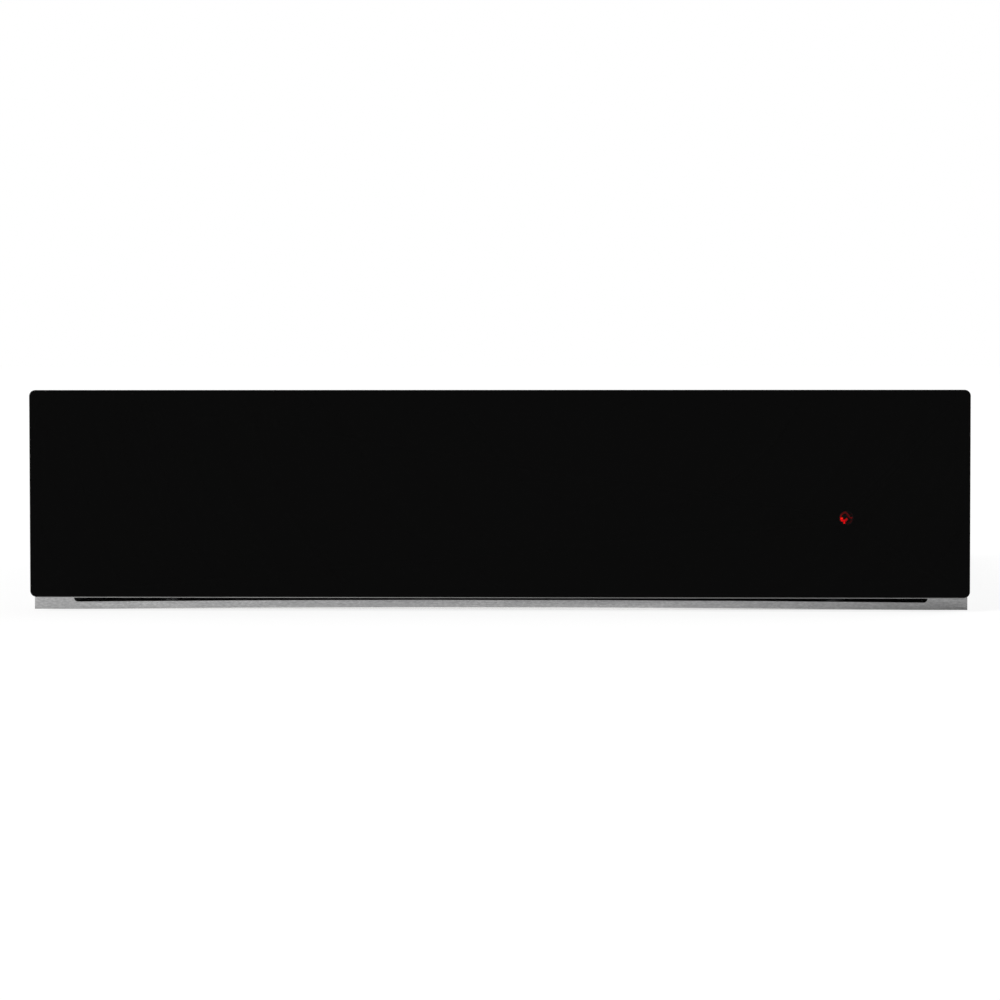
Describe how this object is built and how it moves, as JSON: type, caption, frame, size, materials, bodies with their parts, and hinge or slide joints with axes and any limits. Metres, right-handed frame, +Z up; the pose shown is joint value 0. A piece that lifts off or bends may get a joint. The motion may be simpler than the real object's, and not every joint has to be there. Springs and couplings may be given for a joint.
{
  "type": "built-in warming drawer",
  "caption": "Built-in 14 cm warming drawer with a black glass front, push-to-open latch, ball-bearing rails, heated and fan-warmed crockery drawer and a steel casing.",
  "frame": {"origin": "middle of the overall width and depth, on the underside of the casing", "axes": "+X to the right as seen from the front, -Y out of the front, +Z up"},
  "size_m": [0.594, 0.548, 0.14],
  "materials": {
    "black_glass": "gloss black, toughened",
    "black_print": "black enamel print",
    "brushed_steel": "brushed along X",
    "stainless": "fine brushed",
    "galvanised": "zinc-coated sheet, dull",
    "zinc_steel": "bright zinc plated",
    "bearing_steel": "polished",
    "mineral_wool": "mineral wool board",
    "rubber_mat": "matt, ribbed",
    "black_plastic": "fine grain",
    "gloss_black_plastic": "gloss",
    "grey_plastic": "matt grey",
    "white_plastic": "matt off-white",
    "aluminium": "cast and turned",
    "heater_steel": "annealed, dull",
    "brass": "nickel-free brass",
    "cable_rubber": "satin black sheath",
    "seal_rubber": "light grey sealing strip",
    "led_red": "clear red, lit"
  },
  "bodies": {
    "casing": {"base_pan": "galvanised", "side_panel_left": "galvanised", "side_panel_right": "galvanised", "rear_panel": "galvanised", "top_cover": "galvanised", "ceiling_plate": "galvanised", "ceiling_insulation": "mineral_wool", "front_frame": "brushed_steel", "niche_seal": "seal_rubber", "casing_screws": "zinc_steel", "terminal_box": "grey_plastic", "terminal_lid": "grey_plastic", "terminal_block": "white_plastic", "cable_gland": "black_plastic", "cable_bush": "black_plastic", "coil_cable": "cable_rubber", "rail_outer_left": "zinc_steel", "rail_outer_right": "zinc_steel", "latch_housing": "grey_plastic", "latch_spring": "zinc_steel"},
    "drawer": {"front_glass": "black_glass", "front_print": "black_print", "front_carrier": "stainless", "front_insulation": "mineral_wool", "inner_panel": "stainless", "drawer_screws": "zinc_steel", "drawer_box": "stainless", "drawer_mat": "rubber_mat", "rear_wall": "stainless", "rear_cover": "galvanised", "fan_motor": "aluminium", "heating_element": "heater_steel", "thermal_cutout": "black_plastic", "control_housing": "stainless", "control_fascia": "stainless", "thermostat": "zinc_steel", "switch_body": "black_plastic", "lamp_holder": "black_plastic", "indicator_led": "led_red", "latch_striker": "zinc_steel", "cable_anchor": "black_plastic", "rail_inner_left": "zinc_steel", "rail_inner_right": "zinc_steel"},
    "fan": {"fan_wheel": "aluminium", "fan_shaft": "zinc_steel"},
    "knob": {"thermostat_knob": "black_plastic", "thermostat_shaft": "brass"},
    "rocker_key": {"rocker": "gloss_black_plastic"},
    "latch_carriage": {"latch_slider": "grey_plastic", "latch_jaws": "white_plastic"},
    "rail_middle_left": {"rail_middle_left": "zinc_steel"},
    "cage_outer_left": {"ball_cage_outer_left": "zinc_steel", "balls_outer_left": "bearing_steel"},
    "cage_inner_left": {"ball_cage_inner_left": "zinc_steel", "balls_inner_left": "bearing_steel"},
    "rail_middle_right": {"rail_middle_right": "zinc_steel"},
    "cage_outer_right": {"ball_cage_outer_right": "zinc_steel", "balls_outer_right": "bearing_steel"},
    "cage_inner_right": {"ball_cage_inner_right": "zinc_steel", "balls_inner_right": "bearing_steel"}
  },
  "joints": [
    {"name": "drawer_slide", "type": "slide", "parent": "casing", "child": "drawer", "axis": [0, -1, 0], "range_m": [-0.0025, 0.45], "deforming": ["coil_cable", "latch_jaws"]},
    {"name": "knob_turn", "type": "hinge", "parent": "drawer", "child": "knob", "pos_m": [0.188, -0.2317, 0.1025], "axis": [0, 0, 1], "range_deg": [-270, 0]},
    {"name": "rocker_tilt", "type": "hinge", "parent": "drawer", "child": "rocker_key", "pos_m": [0.228, -0.2317, 0.1002], "axis": [1, 0, 0], "range_deg": [-18, 0]},
    {"name": "fan_spin", "type": "hinge", "parent": "drawer", "child": "fan", "pos_m": [0, 0.2126, 0.076], "axis": [0, 1, 0], "continuous": true},
    {"name": "latch_press", "type": "slide", "parent": "casing", "child": "latch_carriage", "axis": [0, 1, 0], "range_m": [0, 0.0025], "stiffness_N_per_m": 400, "springref_m": -0.005, "deforming": ["latch_spring", "latch_jaws"]},
    {"name": "rail_middle_left_slide", "type": "slide", "parent": "casing", "child": "rail_middle_left", "axis": [0, -1, 0], "range_m": [-0.00145, 0.2255]},
    {"name": "cage_outer_left_slide", "type": "slide", "parent": "casing", "child": "cage_outer_left", "axis": [0, -1, 0], "range_m": [-0.00082, 0.113]},
    {"name": "cage_inner_left_slide", "type": "slide", "parent": "casing", "child": "cage_inner_left", "axis": [0, -1, 0], "range_m": [-0.00208, 0.338]},
    {"name": "rail_middle_right_slide", "type": "slide", "parent": "casing", "child": "rail_middle_right", "axis": [0, -1, 0], "range_m": [-0.00145, 0.2255]},
    {"name": "cage_outer_right_slide", "type": "slide", "parent": "casing", "child": "cage_outer_right", "axis": [0, -1, 0], "range_m": [-0.00082, 0.113]},
    {"name": "cage_inner_right_slide", "type": "slide", "parent": "casing", "child": "cage_inner_right", "axis": [0, -1, 0], "range_m": [-0.00208, 0.338]}
  ],
  "couplings": [
    {"joint": "rail_middle_left_slide", "follows": "drawer_slide", "ratio": 0.5},
    {"joint": "cage_outer_left_slide", "follows": "drawer_slide", "ratio": 0.25},
    {"joint": "cage_inner_left_slide", "follows": "drawer_slide", "ratio": 0.75},
    {"joint": "rail_middle_right_slide", "follows": "drawer_slide", "ratio": 0.5},
    {"joint": "cage_outer_right_slide", "follows": "drawer_slide", "ratio": 0.25},
    {"joint": "cage_inner_right_slide", "follows": "drawer_slide", "ratio": 0.75}
  ]
}
